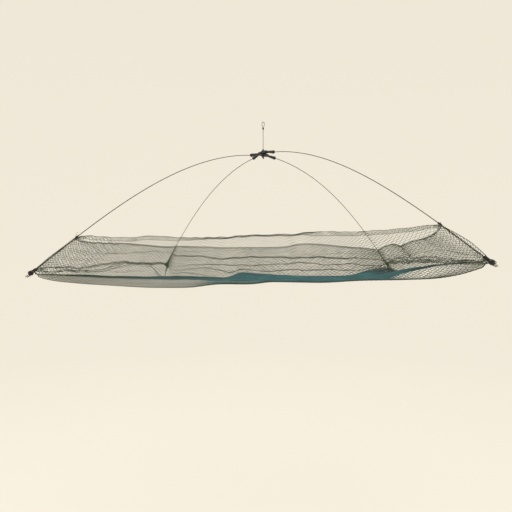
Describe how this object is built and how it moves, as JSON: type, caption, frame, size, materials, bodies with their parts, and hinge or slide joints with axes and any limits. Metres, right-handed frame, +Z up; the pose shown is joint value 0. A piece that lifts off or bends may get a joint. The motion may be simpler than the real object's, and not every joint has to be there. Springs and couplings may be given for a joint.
{
  "type": "umbrella lift net on a spring-rib frame",
  "caption": "Square tray of fine diamond netting, its corners held by arched spring ribs set in a folding cross hub and hung level from one taut line.",
  "frame": {"origin": "top of the loop that the lift line ends in, which is the point that the whole net hangs from", "axes": "+Z up along the taut line; +X along the front and back walls; +Y from the front wall to the back wall"},
  "size_m": [1.0136, 1.014, 0.5365],
  "materials": {
    "floor_netting": "fine blue-green twine netting, 5 mm bar diamonds",
    "wall_netting": "fine dark green twine netting with a folded top edge",
    "lacing_cord": "dark green twisted cord",
    "tie_thread": "black waxed thread, wrapped",
    "pale_cord": "undyed cord, knotted",
    "line_cord": "grey-beige twisted line",
    "hub_plastic": "black moulded plastic, slightly worn",
    "rivet_plastic": "black moulded plastic",
    "cap_plastic": "black moulded plastic",
    "spring_wire": "dull grey-beige drawn spring steel wire"
  },
  "bodies": {
    "root": {"hub_lower_bar": "hub_plastic", "hub_upper_bar": "hub_plastic", "hub_rivet": "rivet_plastic", "rib_front_left": "spring_wire", "tip_cap_front_left": "cap_plastic", "corner_lashing_front_left": "tie_thread", "tip_knot_front_left": "pale_cord", "hem_tie_front_left": "tie_thread", "rib_front_right": "spring_wire", "tip_cap_front_right": "cap_plastic", "corner_lashing_front_right": "tie_thread", "tip_knot_front_right": "pale_cord", "hem_tie_front_right": "tie_thread", "rib_back_right": "spring_wire", "tip_cap_back_right": "cap_plastic", "corner_lashing_back_right": "tie_thread", "tip_knot_back_right": "pale_cord", "hem_tie_back_right": "tie_thread", "rib_back_left": "spring_wire", "tip_cap_back_left": "cap_plastic", "corner_lashing_back_left": "tie_thread", "tip_knot_back_left": "pale_cord", "hem_tie_back_left": "tie_thread", "wall_front": "wall_netting", "lacing_front": "lacing_cord", "wall_right": "wall_netting", "lacing_right": "lacing_cord", "wall_back": "wall_netting", "lacing_back": "lacing_cord", "wall_left": "wall_netting", "lacing_left": "lacing_cord", "net_floor": "floor_netting", "lift_line": "line_cord", "top_loop": "line_cord", "stop_knot": "tie_thread"}
  },
  "joints": []
}
